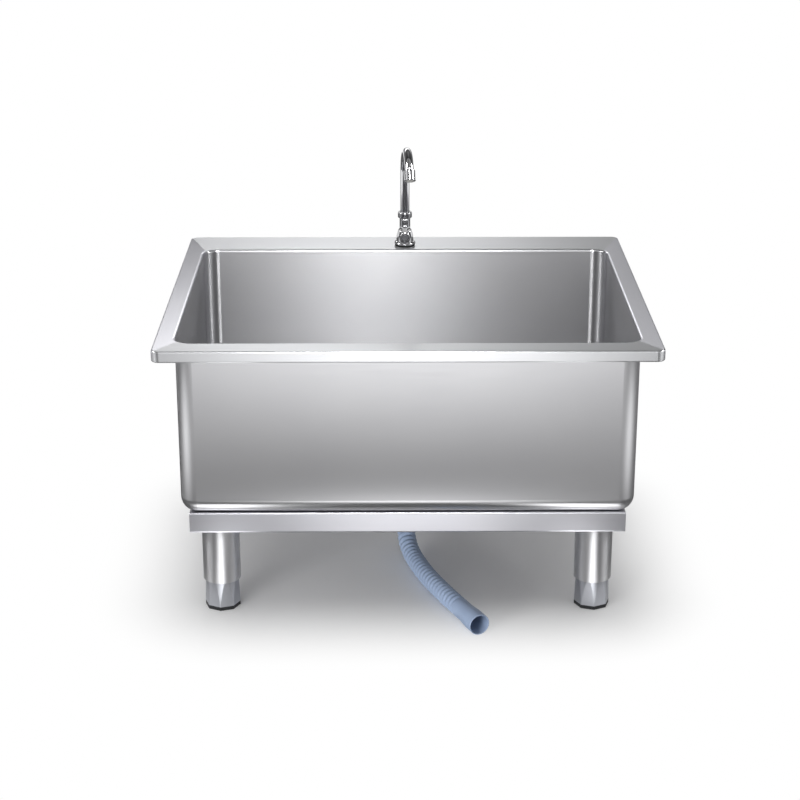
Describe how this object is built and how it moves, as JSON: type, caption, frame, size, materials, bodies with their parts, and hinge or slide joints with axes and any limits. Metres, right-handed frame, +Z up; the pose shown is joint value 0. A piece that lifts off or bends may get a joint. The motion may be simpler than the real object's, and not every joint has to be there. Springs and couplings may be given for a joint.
{
  "type": "mop service sink",
  "caption": "Deep stainless mop sink with a mitred rim on a framed stand with levelling feet, a swan-neck tap, a lift-out strainer basket and a ribbed drain hose.",
  "frame": {"origin": "on the floor under the centre of the rim", "axes": "+X to the right seen from the front, +Y to the back where the tap stands, +Z up"},
  "size_m": [0.9, 0.7868, 0.7552],
  "materials": {
    "rim_steel": "fine satin stainless sheet",
    "bowl_steel": "satin pressed stainless sheet",
    "frame_steel": "satin folded stainless sheet",
    "leg_steel": "polished stainless tube",
    "fastener_steel": "bright turned steel",
    "tap_chrome": "bright chrome plate",
    "brass": "turned brass",
    "rubber_black": "matt black rubber",
    "rubber_grey": "matt grey rubber",
    "hose_plastic": "soft blue-grey ribbed plastic",
    "fitting_plastic": "white moulded plastic"
  },
  "bodies": {
    "sink": {"rim_front": "rim_steel", "rim_right": "rim_steel", "rim_rear": "rim_steel", "rim_left": "rim_steel", "bowl": "bowl_steel", "tap_stiffener": "frame_steel", "frame_front": "frame_steel", "frame_right": "frame_steel", "frame_rear": "frame_steel", "frame_left": "frame_steel", "frame_bearers": "frame_steel", "bearer_pads": "rubber_grey", "corner_gussets": "frame_steel", "leg_sockets": "frame_steel", "socket_washers": "fastener_steel", "socket_nuts": "fastener_steel", "leg_grub_screws": "fastener_steel", "leg_tube_front_left": "leg_steel", "leg_tube_front_right": "leg_steel", "leg_tube_rear_left": "leg_steel", "leg_tube_rear_right": "leg_steel", "leg_inserts": "fastener_steel", "drain_flange": "leg_steel", "drain_gasket_top": "rubber_grey", "drain_gasket_low": "rubber_grey", "drain_slip_ring": "fitting_plastic", "drain_locknut": "fitting_plastic", "coupling_nut": "fitting_plastic", "cone_washer": "rubber_grey", "drain_elbow": "fitting_plastic", "drain_hose": "hose_plastic", "hose_cuff": "hose_plastic", "hose_clamp": "fastener_steel", "clamp_screw": "fastener_steel", "tap_body": "tap_chrome", "tap_gasket": "rubber_black", "tap_washer": "rubber_grey", "tap_backnut": "brass", "valve_cartridge": "brass", "valve_bonnet": "tap_chrome", "spout_nut": "tap_chrome"},
    "foot_front_left": {"foot_shell_front_left": "leg_steel", "foot_pad_front_left": "rubber_black"},
    "foot_front_right": {"foot_shell_front_right": "leg_steel", "foot_pad_front_right": "rubber_black"},
    "foot_rear_left": {"foot_shell_rear_left": "leg_steel", "foot_pad_rear_left": "rubber_black"},
    "foot_rear_right": {"foot_shell_rear_right": "leg_steel", "foot_pad_rear_right": "rubber_black"},
    "basket": {"strainer_basket": "leg_steel", "basket_plug": "rubber_black", "basket_knob": "leg_steel"},
    "spout_arm": {"spout": "tap_chrome", "spout_o_rings": "rubber_black", "aerator_housing": "tap_chrome", "aerator_insert": "fitting_plastic"},
    "lever": {"valve_spindle": "brass", "tap_lever": "tap_chrome", "lever_screw": "fastener_steel", "lever_cap": "tap_chrome"}
  },
  "joints": [
    {"name": "foot_front_left_screw", "type": "slide", "parent": "sink", "child": "foot_front_left", "axis": [0, 0, 1], "range_m": [-0.022, 0.022]},
    {"name": "foot_front_right_screw", "type": "slide", "parent": "sink", "child": "foot_front_right", "axis": [0, 0, 1], "range_m": [-0.022, 0.022]},
    {"name": "foot_rear_left_screw", "type": "slide", "parent": "sink", "child": "foot_rear_left", "axis": [0, 0, 1], "range_m": [-0.022, 0.022]},
    {"name": "foot_rear_right_screw", "type": "slide", "parent": "sink", "child": "foot_rear_right", "axis": [0, 0, 1], "range_m": [-0.022, 0.022]},
    {"name": "basket_lift", "type": "slide", "parent": "sink", "child": "basket", "axis": [0, 0, 1], "range_m": [0, 0.38]},
    {"name": "spout_swivel", "type": "hinge", "parent": "sink", "child": "spout_arm", "pos_m": [0, 0.316, 0.6], "axis": [0, 0, 1], "continuous": true},
    {"name": "tap_turn", "type": "hinge", "parent": "sink", "child": "lever", "pos_m": [0, 0.281, 0.5675], "axis": [0, -1, 0], "range_deg": [0, 90]}
  ]
}
